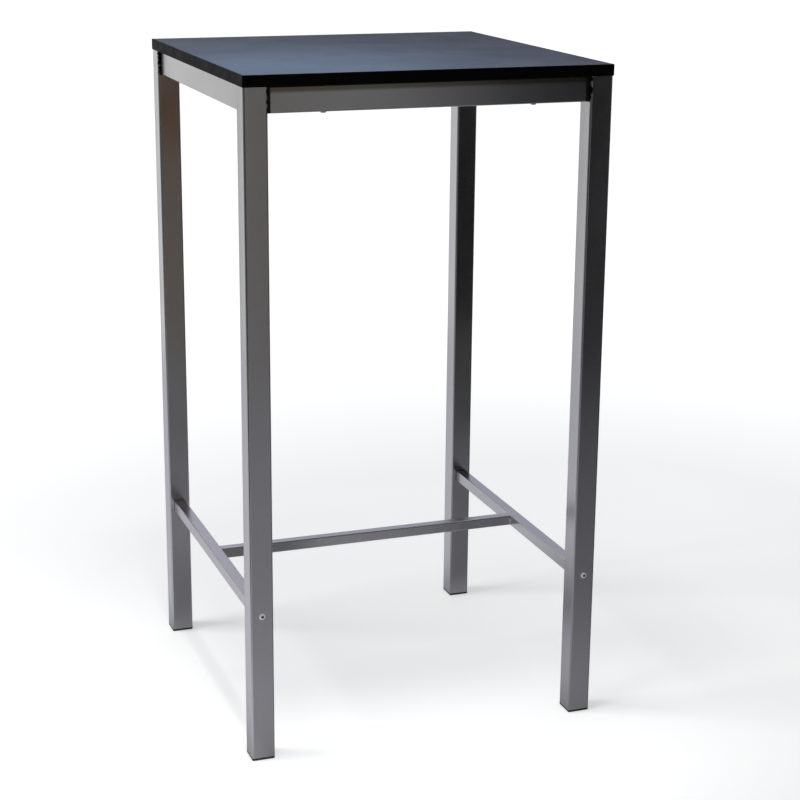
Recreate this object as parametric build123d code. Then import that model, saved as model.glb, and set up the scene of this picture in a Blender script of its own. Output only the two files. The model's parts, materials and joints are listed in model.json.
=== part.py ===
"""Square pub table: a panel top on a knock-down steel frame.

Millimetres, +Z up, front of the table towards -Y. The origin lies on the floor, in the middle of
the four feet. Every piece is a closed solid in a STEP file of its own.
"""
from build123d import *
import os
from math import sqrt

# ---- Tabletop ----
TABLE_HEIGHT = 1100.0
TOP_WIDTH = 600.0
TOP_DEPTH = 600.0
TOP_THICKNESS = 18.0
LAMINATE_THICKNESS = 0.8
EDGE_BAND_THICKNESS = 2.0
EDGE_BAND_ARRIS = 1.0

# ---- Legs ----
LEG_SETBACK = 1.0
LEG_SIDE = 38.0
LEG_WALL = 1.5
LEG_CORNER_RADIUS = 3.0

# ---- Foot plugs ----
FOOT_FLANGE = 4.0
FOOT_CHAMFER = 1.0
FOOT_BODY_LENGTH = 24.0

# ---- Apron rails under the tabletop, set back from the outer faces of the legs ----
APRON_SETBACK = 6.0
APRON_HEIGHT = 40.0
APRON_THICKNESS = 20.0
APRON_WALL = 1.5
APRON_CORNER_RADIUS = 2.5
APRON_PLUG_FLANGE = 5.0
APRON_PLUG_BODY_LENGTH = 18.0

# ---- Foot stretcher ----
STRETCHER_HEIGHT = 250.0
SIDE_BAR_SIDE = 20.0
SIDE_BAR_WALL = 1.5
CROSS_BAR_SIDE = 18.0
CROSS_BAR_WALL = 1.5
BAR_CORNER_RADIUS = 2.0
BAR_PLUG_FLANGE = 2.0
BAR_PLUG_BODY_LENGTH = 19.0
WELD_LEG = 3.0
WELD_CROWN = 0.6

# ---- Plugs moulded in plastic ----
PLUG_WALL = 2.5
PLUG_RIB_COUNT = 2
PLUG_RIB_THICKNESS = 1.5
PLUG_RIB_PROUD = 0.6
PLUG_CLEARANCE = 0.1
FLANGE_INSET = 0.4
FLANGE_CORNER = 1.5

# ---- Corner braces welded across the rails, and the bolts that draw the legs in ----
BRACE_THICKNESS = 2.5
BRACE_HEIGHT = 32.0
BRACE_FLANGE = 24.0
BRACE_BEND_RADIUS = 4.0
BRACE_GAP = 9.0
CORNER_BOLT_DIAMETER = 8.0
CORNER_BOLT_LENGTH = 30.0
CORNER_BOLT_FLATS = 13.0
CORNER_BOLT_HEAD_HEIGHT = 5.3
NUT_BLOCK_LEG = 24.0
NUT_BLOCK_HEIGHT = 25.0

# ---- Stretcher bolts and their nuts ----
STRETCHER_BOLT_DIAMETER = 6.0
STRETCHER_BOLT_LENGTH = 60.0
STRETCHER_BOLT_HEAD_DIAMETER = 10.5
STRETCHER_BOLT_CROWN_DIAMETER = 6.5
STRETCHER_BOLT_HEAD_HEIGHT = 3.3
STRETCHER_BOLT_SOCKET_FLATS = 4.0
STRETCHER_BOLT_SOCKET_DEPTH = 2.0
SQUARE_NUT_SIDE = 10.0
SQUARE_NUT_THICKNESS = 5.0

# ---- Screws that hold the tabletop down ----
TOP_SCREW_DIAMETER = 5.0
TOP_SCREW_FLATS = 8.0
TOP_SCREW_HEAD_HEIGHT = 2.2
TOP_SCREW_BITE = 12.0
TOP_SCREW_OFFSET = 90.0

# ---- Clearances on the diameter of a hole, and how far a drill runs past what it bores ----
BOLT_CLEARANCE = 0.6
THREAD_CLEARANCE = 0.1
DRILL_OVERRUN = 1.0

# ---- Places that follow from the sizes ----
UNDERSIDE = TABLE_HEIGHT - TOP_THICKNESS
LEG_X = TOP_WIDTH / 2 - LEG_SETBACK - LEG_SIDE / 2
LEG_Y = TOP_DEPTH / 2 - LEG_SETBACK - LEG_SIDE / 2
LEG_INNER_X = LEG_X - LEG_SIDE / 2
LEG_INNER_Y = LEG_Y - LEG_SIDE / 2
APRON_X = LEG_X + LEG_SIDE / 2 - APRON_SETBACK - APRON_THICKNESS / 2
APRON_Y = LEG_Y + LEG_SIDE / 2 - APRON_SETBACK - APRON_THICKNESS / 2
APRON_Z = UNDERSIDE - APRON_HEIGHT / 2
APRON_INNER_X = APRON_X - APRON_THICKNESS / 2
APRON_INNER_Y = APRON_Y - APRON_THICKNESS / 2

CORNERS = {"rear_right": (1, 1), "rear_left": (-1, 1), "front_right": (1, -1), "front_left": (-1, -1)}
NODES = {}


def bar(width, height, length):
    """Solid bar that stands on the XY plane."""
    return extrude(Rectangle(width, height), length)


def box_section(width, height, wall, radius, length):
    """Hollow box section that stands on the XY plane: rounded outside, sharp in the bore."""
    outside = RectangleRounded(width, height, min(radius, 0.49 * min(width, height)))
    return extrude(outside - Rectangle(width - 2 * wall, height - 2 * wall), length)


def rod(diameter, length):
    """Round bar that stands on the XY plane."""
    return extrude(Circle(diameter / 2), length)


def hexagon(flats, height):
    """Hexagonal bar, measured across its flats, that stands on the XY plane."""
    return extrude(RegularPolygon(flats / 2, 6, major_radius=False), height)


def mirrored(shape, side_x, side_y):
    """Carry a shape from the rear right corner to the corner named by two signs."""
    if side_x < 0:
        shape = mirror(shape, Plane.YZ)
    if side_y < 0:
        shape = mirror(shape, Plane.XZ)
    return shape


def at_every_corner(shape):
    """The same piece at all four corners of the table."""
    return [mirrored(shape, *signs) for signs in CORNERS.values()]


# Looking out of a piece along a horizontal axis, with the section's height kept upright
ALONG_X = Plane(origin=(0, 0, 0), x_dir=(0, 1, 0), z_dir=(1, 0, 0))
ALONG_Y = Plane(origin=(0, 0, 0), x_dir=(-1, 0, 0), z_dir=(0, 1, 0))


def facing(plane, x, y, z):
    """The same plane moved to a point."""
    return Plane(origin=(x, y, z), x_dir=plane.x_dir, z_dir=plane.z_dir)


# ---- Tabletop: core board between two laminates, edge bands all round ----
core_width = TOP_WIDTH - 2 * EDGE_BAND_THICKNESS
core_depth = TOP_DEPTH - 2 * EDGE_BAND_THICKNESS


def board(thickness, z):
    """Flat sheet of the banded size with its underside at z."""
    return Pos(0, 0, z) * extrude(Rectangle(core_width, core_depth), thickness)


# Screws stand in the front and rear rails, where they start on the rail's underside
top_screw_axis = Pos(LEG_INNER_X - TOP_SCREW_OFFSET, APRON_Y, UNDERSIDE - APRON_HEIGHT)
pilot_length = APRON_HEIGHT + TOP_SCREW_BITE + DRILL_OVERRUN
pilot_holes = at_every_corner(
    top_screw_axis * rod(TOP_SCREW_DIAMETER + THREAD_CLEARANCE, pilot_length)
)
NODES["top_backing"] = board(LAMINATE_THICKNESS, UNDERSIDE) - pilot_holes
core_thickness = TOP_THICKNESS - 2 * LAMINATE_THICKNESS
NODES["top_core"] = board(core_thickness, UNDERSIDE + LAMINATE_THICKNESS) - pilot_holes
NODES["top_laminate"] = board(LAMINATE_THICKNESS, TABLE_HEIGHT - LAMINATE_THICKNESS)


def edge_band(length, show_ends):
    """Strip along X that stands on z = 0 with its outer face at y = 0 and its arrises rounded."""
    strip = Pos(0, EDGE_BAND_THICKNESS / 2, TOP_THICKNESS / 2) * Box(
        length, EDGE_BAND_THICKNESS, TOP_THICKNESS
    )
    arrises = strip.edges().filter_by(Axis.X).group_by(Axis.Y)[0]
    if show_ends:
        arrises += strip.edges().filter_by(Axis.Z).group_by(Axis.Y)[0]
    return fillet(arrises, min(EDGE_BAND_ARRIS, 0.45 * EDGE_BAND_THICKNESS))


long_band = Pos(0, -TOP_DEPTH / 2, UNDERSIDE) * edge_band(TOP_WIDTH, True)
short_band = Pos(-TOP_WIDTH / 2, 0, UNDERSIDE) * Rot(0, 0, -90) * edge_band(core_depth, False)
NODES["edge_band_front"] = long_band
NODES["edge_band_rear"] = mirror(long_band, Plane.XZ)
NODES["edge_band_left"] = short_band
NODES["edge_band_right"] = mirror(short_band, Plane.YZ)

# ---- Legs: square tube, bored for the stretcher bolt and through the inner corner ----
leg_length = UNDERSIDE - FOOT_FLANGE
leg_tube = Pos(LEG_X, LEG_Y, FOOT_FLANGE) * box_section(
    LEG_SIDE, LEG_SIDE, LEG_WALL, LEG_CORNER_RADIUS, leg_length
)
stretcher_bore = facing(ALONG_Y, LEG_X, LEG_INNER_Y - DRILL_OVERRUN, STRETCHER_HEIGHT) * rod(
    STRETCHER_BOLT_DIAMETER + BOLT_CLEARANCE, LEG_SIDE + 2 * DRILL_OVERRUN
)
# Axis of the corner bolt: it starts on the leg's inner corner and points at the middle of the table
corner_axis = Plane(
    origin=(LEG_INNER_X, LEG_INNER_Y, APRON_Z), x_dir=(1, -1, 0), z_dir=(-1, -1, 0)
)
corner_bore = corner_axis * Pos(0, 0, -LEG_SIDE / 2) * rod(
    CORNER_BOLT_DIAMETER + BOLT_CLEARANCE, LEG_SIDE / 2 + DRILL_OVERRUN
)
leg = leg_tube - stretcher_bore - corner_bore
for corner, signs in CORNERS.items():
    NODES[f"leg_{corner}"] = mirrored(leg, *signs)


# ---- Plastic plugs: a flange over the tube's end and a ribbed hollow body inside it ----
def plug_flange(width, height, thickness):
    """Plate a little smaller than the tube's section, with its upright corners cut off."""
    plate = bar(width - FLANGE_INSET, height - FLANGE_INSET, thickness)
    return chamfer(plate.edges().filter_by(Axis.Z), FLANGE_CORNER)


def tube_plug(width, height, wall, flange, body_length):
    """Plug that stands on the XY plane with its flange down and its body up in the tube."""
    inner_width = width - 2 * (wall + PLUG_CLEARANCE)
    inner_height = height - 2 * (wall + PLUG_CLEARANCE)
    body_width = inner_width - 2 * PLUG_RIB_PROUD
    body_height = inner_height - 2 * PLUG_RIB_PROUD
    body = bar(body_width, body_height, body_length)
    rib = bar(inner_width, inner_height, PLUG_RIB_THICKNESS)
    pitch = body_length / (PLUG_RIB_COUNT + 1)
    ribs = [Pos(0, 0, pitch * (i + 1) - PLUG_RIB_THICKNESS / 2) * rib for i in range(PLUG_RIB_COUNT)]
    hollow = bar(body_width - 2 * PLUG_WALL, body_height - 2 * PLUG_WALL, body_length - PLUG_WALL)
    body = body + ribs - Pos(0, 0, PLUG_WALL) * hollow
    return plug_flange(width, height, flange) + Pos(0, 0, flange) * body


foot = tube_plug(LEG_SIDE, LEG_SIDE, LEG_WALL, FOOT_FLANGE, FOOT_BODY_LENGTH)
foot = chamfer(foot.faces().sort_by(Axis.Z)[0].edges(), FOOT_CHAMFER)
foot = Pos(LEG_X, LEG_Y, 0) * foot
for corner, signs in CORNERS.items():
    NODES[f"foot_plug_{corner}"] = mirrored(foot, *signs)

# Three-cornered block, welded in the leg's inner corner and tapped for the corner bolt
block_x = LEG_INNER_X + LEG_WALL
block_y = LEG_INNER_Y + LEG_WALL
nut_block_profile = Polyline(
    (block_x, block_y),
    (block_x, block_y + NUT_BLOCK_LEG),
    (block_x + NUT_BLOCK_LEG, block_y),
    close=True,
)
nut_block = Pos(0, 0, APRON_Z - NUT_BLOCK_HEIGHT / 2) * extrude(
    make_face(nut_block_profile), NUT_BLOCK_HEIGHT
)
nut_block -= corner_axis * Pos(0, 0, -LEG_SIDE) * rod(
    CORNER_BOLT_DIAMETER + THREAD_CLEARANCE, LEG_SIDE
)
NODES["leg_nut_blocks"] = at_every_corner(nut_block)

# ---- Apron rails: box section on edge, closed by a plug against each leg ----
apron_length_x = 2 * (LEG_INNER_X - APRON_PLUG_FLANGE)
apron_length_y = 2 * (LEG_INNER_Y - APRON_PLUG_FLANGE)
rail_x = facing(ALONG_X, -apron_length_x / 2, APRON_Y, APRON_Z) * box_section(
    APRON_THICKNESS, APRON_HEIGHT, APRON_WALL, APRON_CORNER_RADIUS, apron_length_x
)
rail_y = facing(ALONG_Y, APRON_X, -apron_length_y / 2, APRON_Z) * box_section(
    APRON_THICKNESS, APRON_HEIGHT, APRON_WALL, APRON_CORNER_RADIUS, apron_length_y
)
rail_bore = rod(TOP_SCREW_DIAMETER + BOLT_CLEARANCE, APRON_HEIGHT + 2 * DRILL_OVERRUN)
screw_bores = at_every_corner(top_screw_axis * Pos(0, 0, -DRILL_OVERRUN) * rail_bore)
NODES["apron_rear"] = rail_x - screw_bores
NODES["apron_front"] = mirror(rail_x, Plane.XZ) - screw_bores
NODES["apron_right"] = rail_y
NODES["apron_left"] = mirror(rail_y, Plane.YZ)

apron_plug = tube_plug(
    APRON_THICKNESS, APRON_HEIGHT, APRON_WALL, APRON_PLUG_FLANGE, APRON_PLUG_BODY_LENGTH
)
plug_x = facing(ALONG_X, -LEG_INNER_X, APRON_Y, APRON_Z) * apron_plug
plug_y = facing(ALONG_Y, APRON_X, -LEG_INNER_Y, APRON_Z) * apron_plug
NODES["apron_plugs"] = at_every_corner(plug_x) + at_every_corner(plug_y)

# ---- Corner brace: pressed strip that spans the corner, with a flange on each rail ----
half_brace = BRACE_THICKNESS / 2
brace_reach = sqrt(2) * (BRACE_GAP + half_brace)
bend_x = LEG_INNER_X + LEG_INNER_Y - brace_reach - (APRON_INNER_Y - half_brace)
bend_y = LEG_INNER_X + LEG_INNER_Y - brace_reach - (APRON_INNER_X - half_brace)
brace_line = FilletPolyline(
    (bend_x - BRACE_FLANGE, APRON_INNER_Y - half_brace),
    (bend_x, APRON_INNER_Y - half_brace),
    (APRON_INNER_X - half_brace, bend_y),
    (APRON_INNER_X - half_brace, bend_y - BRACE_FLANGE),
    radius=BRACE_BEND_RADIUS,
)
brace_start = Plane(origin=brace_line @ 0, x_dir=(0, 0, 1), z_dir=brace_line % 0)
brace = Pos(0, 0, APRON_Z) * sweep(
    brace_start * Rectangle(BRACE_HEIGHT, BRACE_THICKNESS), path=brace_line
)
brace -= corner_axis * rod(CORNER_BOLT_DIAMETER + BOLT_CLEARANCE, BRACE_GAP + 4 * BRACE_THICKNESS)

for corner, signs in CORNERS.items():
    NODES[f"corner_brace_{corner}"] = mirrored(brace, *signs)


def fillet_weld(x, y, toward_x, toward_y, length):
    """Weld bead in an upright corner at (x, y), its face bulging a little, that stands on z = 0."""
    foot_x = (x + toward_x * WELD_LEG, y)
    foot_y = (x, y + toward_y * WELD_LEG)
    bulge = WELD_CROWN * WELD_LEG
    crown = (x + toward_x * bulge, y + toward_y * bulge)
    profile = Polyline(foot_y, (x, y), foot_x) + ThreePointArc(foot_x, crown, foot_y)
    return extrude(make_face(profile), length)


# A bead closes the end of each brace flange against its rail
brace_foot = Pos(0, 0, APRON_Z - BRACE_HEIGHT / 2)
NODES["brace_welds"] = at_every_corner(
    brace_foot * fillet_weld(bend_x - BRACE_FLANGE, APRON_INNER_Y, -1, -1, BRACE_HEIGHT)
) + at_every_corner(
    brace_foot * fillet_weld(APRON_INNER_X, bend_y - BRACE_FLANGE, -1, -1, BRACE_HEIGHT)
)

# ---- Corner bolt: head on the brace, shank through the leg's corner into the block ----
corner_bolt = hexagon(CORNER_BOLT_FLATS, CORNER_BOLT_HEAD_HEIGHT)
corner_bolt += Pos(0, 0, -CORNER_BOLT_LENGTH) * rod(CORNER_BOLT_DIAMETER, CORNER_BOLT_LENGTH)
NODES["corner_bolts"] = at_every_corner(
    corner_axis * Pos(0, 0, BRACE_GAP + BRACE_THICKNESS) * corner_bolt
)

# ---- Screws that hold the tabletop down, each through the height of a rail ----
top_screw = Pos(0, 0, -TOP_SCREW_HEAD_HEIGHT) * hexagon(TOP_SCREW_FLATS, TOP_SCREW_HEAD_HEIGHT)
top_screw += rod(TOP_SCREW_DIAMETER, APRON_HEIGHT + TOP_SCREW_BITE)
NODES["top_screws"] = at_every_corner(top_screw_axis * top_screw)

# ---- Foot stretcher: a cross bar welded between two side bars ----
side_bar_length = 2 * (LEG_INNER_Y - BAR_PLUG_FLANGE)
side_bar = facing(ALONG_Y, LEG_X, -side_bar_length / 2, STRETCHER_HEIGHT) * box_section(
    SIDE_BAR_SIDE, SIDE_BAR_SIDE, SIDE_BAR_WALL, BAR_CORNER_RADIUS, side_bar_length
)
NODES["side_bar_right"] = side_bar
NODES["side_bar_left"] = mirror(side_bar, Plane.YZ)

cross_reach = LEG_X - SIDE_BAR_SIDE / 2
NODES["cross_bar"] = facing(ALONG_X, -cross_reach, 0, STRETCHER_HEIGHT) * box_section(
    CROSS_BAR_SIDE, CROSS_BAR_SIDE, CROSS_BAR_WALL, BAR_CORNER_RADIUS, 2 * cross_reach
)

# Fillet weld down each upright side of the cross bar's ends, its face bulging a little
weld_height = min(CROSS_BAR_SIDE, SIDE_BAR_SIDE) - 2 * BAR_CORNER_RADIUS
weld = Pos(0, 0, STRETCHER_HEIGHT - weld_height / 2) * fillet_weld(
    cross_reach, CROSS_BAR_SIDE / 2, -1, 1, weld_height
)
NODES["cross_bar_welds"] = at_every_corner(weld)

# ---- Bar plug: flange against the leg, square way through, square nut at its inner end ----
plug_side = SIDE_BAR_SIDE - 2 * (SIDE_BAR_WALL + PLUG_CLEARANCE)
bar_plug = plug_flange(SIDE_BAR_SIDE, SIDE_BAR_SIDE, BAR_PLUG_FLANGE)
bar_plug += Pos(0, 0, BAR_PLUG_FLANGE) * bar(plug_side, plug_side, BAR_PLUG_BODY_LENGTH)
bar_plug_length = BAR_PLUG_FLANGE + BAR_PLUG_BODY_LENGTH
bolt_way = STRETCHER_BOLT_DIAMETER + BOLT_CLEARANCE
bar_plug -= bar(bolt_way, bolt_way, bar_plug_length)
nut_seat = Pos(0, 0, bar_plug_length - SQUARE_NUT_THICKNESS)
nut_pocket = SQUARE_NUT_SIDE + PLUG_CLEARANCE
bar_plug -= nut_seat * bar(nut_pocket, nut_pocket, SQUARE_NUT_THICKNESS)
square_nut = bar(SQUARE_NUT_SIDE, SQUARE_NUT_SIDE, SQUARE_NUT_THICKNESS)
square_nut -= rod(STRETCHER_BOLT_DIAMETER + THREAD_CLEARANCE, SQUARE_NUT_THICKNESS)
bar_end = facing(ALONG_Y, LEG_X, -LEG_INNER_Y, STRETCHER_HEIGHT)
NODES["side_bar_plugs"] = at_every_corner(bar_end * bar_plug)
NODES["side_bar_nuts"] = at_every_corner(bar_end * nut_seat * square_nut)

# ---- Button head bolt: through the leg and the plug into the square nut ----
button_head = Cone(
    STRETCHER_BOLT_CROWN_DIAMETER / 2,
    STRETCHER_BOLT_HEAD_DIAMETER / 2,
    STRETCHER_BOLT_HEAD_HEIGHT,
    align=(Align.CENTER, Align.CENTER, Align.MAX),
)
stretcher_bolt = button_head + rod(STRETCHER_BOLT_DIAMETER, STRETCHER_BOLT_LENGTH)
stretcher_bolt -= Pos(0, 0, -STRETCHER_BOLT_HEAD_HEIGHT) * hexagon(
    STRETCHER_BOLT_SOCKET_FLATS, STRETCHER_BOLT_SOCKET_DEPTH
)
outer_face = facing(ALONG_Y, LEG_X, -LEG_INNER_Y - LEG_SIDE, STRETCHER_HEIGHT)
NODES["stretcher_bolts"] = at_every_corner(outer_face * stretcher_bolt)

# ---- One STEP file for each node ----
os.makedirs("parts", exist_ok=True)
for name, shape in NODES.items():
    solids = [solid for piece in (shape if isinstance(shape, list) else [shape]) for solid in piece.solids()]
    export_step(solids[0] if len(solids) == 1 else Compound(children=solids), f"parts/{name}.step")
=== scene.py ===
"""Looks of the square pub table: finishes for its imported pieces, welds and fasteners in full detail.

Metres, +Z up, front of the table towards -Y, origin on the floor in the middle of the four feet.
"""
import json
import math

import bpy
import numpy as np
from mathutils import Euler, Matrix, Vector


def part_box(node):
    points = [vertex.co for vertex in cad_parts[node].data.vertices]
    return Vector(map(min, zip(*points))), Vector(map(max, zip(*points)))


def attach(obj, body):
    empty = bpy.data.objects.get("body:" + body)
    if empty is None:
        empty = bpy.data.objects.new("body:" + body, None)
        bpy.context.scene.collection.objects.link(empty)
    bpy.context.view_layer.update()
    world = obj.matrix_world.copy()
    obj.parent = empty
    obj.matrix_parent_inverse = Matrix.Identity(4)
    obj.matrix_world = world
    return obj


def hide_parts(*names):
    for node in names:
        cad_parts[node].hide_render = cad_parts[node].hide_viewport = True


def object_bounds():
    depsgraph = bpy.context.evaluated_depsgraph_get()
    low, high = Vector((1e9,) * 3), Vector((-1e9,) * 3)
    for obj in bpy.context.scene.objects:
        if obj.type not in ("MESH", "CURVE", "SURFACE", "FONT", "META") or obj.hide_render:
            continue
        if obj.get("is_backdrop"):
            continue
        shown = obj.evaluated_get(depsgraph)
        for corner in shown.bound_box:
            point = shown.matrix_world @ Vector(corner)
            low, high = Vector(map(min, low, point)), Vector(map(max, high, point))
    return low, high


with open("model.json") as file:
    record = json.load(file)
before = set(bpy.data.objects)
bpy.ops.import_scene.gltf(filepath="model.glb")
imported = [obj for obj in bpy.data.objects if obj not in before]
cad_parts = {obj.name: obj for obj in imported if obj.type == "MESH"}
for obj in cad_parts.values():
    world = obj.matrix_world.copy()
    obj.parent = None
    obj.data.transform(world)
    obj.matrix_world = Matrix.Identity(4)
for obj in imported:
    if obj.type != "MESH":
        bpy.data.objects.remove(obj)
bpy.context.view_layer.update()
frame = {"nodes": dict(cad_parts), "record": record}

# ---- Sizes that the new pieces share with the table, in metres ----
LEG_CENTRE = 0.280
LEG_HALF = 0.019
LEG_INNER = 0.261
LEG_OUTER = 0.299
RAIL_END = 0.256
APRON_CENTRE = 0.283
APRON_INNER = 0.273
APRON_MIDDLE = 1.062
APRON_LOWER = 1.042
APRON_UPPER = 1.082
BRACE_FACE = 0.0115
BRACE_MARGIN = 0.0005
BRACE_FLANGE_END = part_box("corner_brace_rear_right")[0][0]
STRETCHER_HEIGHT = 0.250
CROSS_REACH = 0.270
CROSS_HALF = 0.009
TOP_SCREW_X = 0.171

CORNER_SIGNS = np.array([(1, 1), (-1, 1), (1, -1), (-1, -1)], float)


# ---- Surfaces worked out as whole arrays ----
def grid_faces(rows, columns, closed_rows=False, closed_columns=True):
    """Quads of a grid of points, each (i, j) (i+1, j) (i+1, j+1) (i, j+1), wrapped where closed."""
    last_row = rows if closed_rows else rows - 1
    last_column = columns if closed_columns else columns - 1
    i, j = np.meshgrid(np.arange(last_row), np.arange(last_column), indexing="ij")
    i, j = i.ravel(), j.ravel()
    down, right = (i + 1) % rows, (j + 1) % columns
    corners = (i * columns + j, down * columns + j, down * columns + right, i * columns + right)
    return np.stack(corners, axis=1)


class Shell:
    """Points and faces gathered for one piece, with as many copies of a surface as it needs."""

    def __init__(self):
        self.points, self.faces, self.count = [], [], 0

    def add(self, points, faces):
        """One surface. The faces of a copy turned inside out by a mirror are passed reversed."""
        points = np.asarray(points, float).reshape(-1, 3)
        self.points.append(points)
        self.faces.append(faces + self.count)
        self.count += len(points)

    def add_at_corners(self, points, faces):
        """The surface of the rear right corner and its mirror images at the three others."""
        points = np.asarray(points, float).reshape(-1, 3)
        for sign_x, sign_y in CORNER_SIGNS:
            moved = points * (sign_x, sign_y, 1.0)
            self.add(moved, faces if sign_x * sign_y > 0 else faces[:, ::-1])

    def piece(self, name, replaced, material, smooth_angle=32.0):
        """The gathered surfaces as one object that rides on the table and stands for a node."""
        mesh = bpy.data.meshes.new(name)
        mesh.from_pydata(np.concatenate(self.points).tolist(), [], np.concatenate(self.faces).tolist())
        mesh.validate()
        mesh.shade_smooth()
        mesh.set_sharp_from_angle(angle=math.radians(smooth_angle))
        mesh.materials.append(material)
        thing = bpy.data.objects.new(name, mesh)
        bpy.context.scene.collection.objects.link(thing)
        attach(thing, "root")
        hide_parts(replaced)
        return thing


def turned(radii, heights, hexes=None, facets=48, flat_step=0.0):
    """Closed surface of rings on the Z axis, listed from the bottom pole to the top one.

    A ring is a circle of its radius where its hex share is 0, and a hexagon whose flats lie at that
    radius where the share is 1: the radius times 1 + share * (1 / cos(angle to the nearest flat) - 1).
    flat_step lowers the hexagon's corners by its share of how far they stand out past the circle, as
    the cone turned on a bolt's head does.
    """
    radii, heights = np.asarray(radii, float), np.asarray(heights, float)
    hexes = np.zeros_like(radii) if hexes is None else np.asarray(hexes, float)
    angles = np.linspace(0, 2 * math.pi, facets, endpoint=False)
    off_flat = (angles + math.pi / 6) % (math.pi / 3) - math.pi / 6
    swell = 1.0 / np.cos(off_flat)
    ring = radii[:, None] * (1 + hexes[:, None] * (swell - 1))
    past = ring - radii[:, None]
    z = heights[:, None] - flat_step * past * (hexes[:, None] > 0)
    points = np.stack([ring * np.cos(angles), ring * np.sin(angles), z], axis=2)
    return points, grid_faces(len(radii), facets)[:, ::-1]


def threaded(radius, depth, pitch, start, end, facets=40, steps=8):
    """Rod on the Z axis whose radius runs in a triangle wave of height over pitch less turn.

    The wave, 0 at the root and 1 at the crest, fades to 0 over the last pitch of the rod.
    """
    rows = int(abs(end - start) / pitch * steps) + 1
    z = np.linspace(start, end, rows)[:, None]
    angles = np.linspace(0, 2 * math.pi, facets, endpoint=False)[None, :]
    phase = (z / pitch - angles / (2 * math.pi)) % 1.0
    wave = 1 - np.abs(2 * phase - 1)
    fade = np.clip(np.abs(end - z) / pitch, 0, 1)
    ring = radius - depth + depth * wave * fade
    points = np.stack([ring * np.cos(angles), ring * np.sin(angles), z + 0 * angles], axis=2)
    return points, grid_faces(rows, facets)[:, ::-1]


def placed(points, origin, axis, across):
    """Points carried from the Z axis to an axis through origin, with X turned to across."""
    axis, across = np.asarray(axis, float), np.asarray(across, float)
    axis, across = axis / np.linalg.norm(axis), across / np.linalg.norm(across)
    turn = np.stack([across, np.cross(axis, across), axis])
    return np.asarray(origin, float) + np.asarray(points).reshape(-1, 3) @ turn


# Shares of a weld bead's leg, and how finely the bead is divided
BEAD_BODY = 0.97
BEAD_SWELL = 0.05
BEAD_WANDER = 0.06
BEAD_LEAN = 0.06
BEAD_BULGE = 0.15
BEAD_SINK = -0.02
BEAD_BACK = 0.6
BEAD_TIP = 0.004
WANDER_POINTS = 9
ROWS_PER_SCALE = 11
LEAST_ROWS = 24


def weld_bead(start, end, towards_a, towards_b, leg, pitch, seed, section=14):
    """Weld bead along a corner from start to end, with its legs towards a and towards b.

    Across the bead, t runs from 0 at the foot on a to 1 at the foot on b, and its face is at
    (1 - t) + bulge * sin(pi t) of the leg towards a and t + bulge * sin(pi t) towards b. Along it the
    leg is 0.97 + 0.05 * scale + a slow wander of up to 0.06, with scale = 1 - |2 * (place / pitch
    mod 1) - 1|^2.5 for a row of overlapping scales that lean back by 0.06. Over the last leg's length
    at each end it draws in as a quarter of an ellipse. The rows of points crowd towards the ends as
    the cosine of half a turn.
    """
    random = np.random.default_rng(seed)
    start, end = np.asarray(start, float), np.asarray(end, float)
    a, b = np.asarray(towards_a, float), np.asarray(towards_b, float)
    length = np.linalg.norm(end - start)
    rows = max(LEAST_ROWS, int(length / pitch * ROWS_PER_SCALE))
    along = 0.5 - 0.5 * np.cos(math.pi * np.linspace(0, 1, rows))
    place = along * length
    scale = 1 - np.abs(2 * ((place / pitch) % 1.0) - 1) ** 2.5
    turns = random.uniform(-BEAD_WANDER, BEAD_WANDER, WANDER_POINTS)
    wander = np.interp(place, np.linspace(0, length, WANDER_POINTS), turns)
    near_end = np.minimum(place, length - place)
    taper = np.sqrt(1 - (1 - np.clip(near_end / leg + BEAD_TIP, 0, 1)) ** 2)
    size = leg * taper * (BEAD_BODY + BEAD_SWELL * scale + wander)
    t = np.linspace(0, 1, section - 2)
    bulge = BEAD_BULGE * np.sin(math.pi * t)
    share_a = np.concatenate([(1 - t) + bulge, [BEAD_SINK, BEAD_SINK]])
    share_b = np.concatenate([t + bulge, [BEAD_BACK, BEAD_SINK]])
    lean = BEAD_LEAN * leg * scale
    line = start + along[:, None] * (end - start)
    points = (
        line[:, None, :]
        + size[:, None, None] * share_a[None, :, None] * a
        + size[:, None, None] * share_b[None, :, None] * b
        - (lean[:, None] * np.concatenate([np.sin(math.pi * t), [0, 0]]))[:, :, None]
        * ((end - start) / length)
    )
    first, last = np.zeros((1, section, 3)) + line[0], np.zeros((1, section, 3)) + line[-1]
    points = np.concatenate([first, points, last])
    faces = grid_faces(rows + 2, section)
    outward = np.dot(np.cross(a, b), end - start) > 0
    return points, faces[:, ::-1] if outward else faces


# ---- Shader nodes ----
def add_node(tree, kind, inputs=None, **settings):
    """A node with its settings. An input, by number or label, is a value or another node's output."""
    node = tree.nodes.new(kind)
    for key, value in settings.items():
        setattr(node, key, value)
    for key, value in (inputs or {}).items():
        if isinstance(value, bpy.types.NodeSocket):
            tree.links.new(value, node.inputs[key])
        else:
            node.inputs[key].default_value = value
    return node


def maths(tree, operation, *terms):
    """The outcome of one operation on terms, each a number or another node's output."""
    node = add_node(tree, "ShaderNodeMath", dict(enumerate(terms)), operation=operation)
    return node.outputs["Value"]


def slope(tree, source, start, end, low, high, **settings):
    """A value that runs evenly from low to high as its source goes from start to end."""
    inputs = {"Value": source, "From Min": start, "From Max": end, "To Min": low, "To Max": high}
    return add_node(tree, "ShaderNodeMapRange", inputs, **settings).outputs["Result"]


def noise(tree, place, scale, detail, roughness):
    """Noise at a place, a value about 0.5."""
    inputs = {"Vector": place, "Scale": scale, "Detail": detail, "Roughness": roughness}
    return add_node(tree, "ShaderNodeTexNoise", inputs).outputs["Fac"]


def sides(tree, place):
    """X, Y and Z of a place."""
    return add_node(tree, "ShaderNodeSeparateXYZ", {"Vector": place}).outputs


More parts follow.
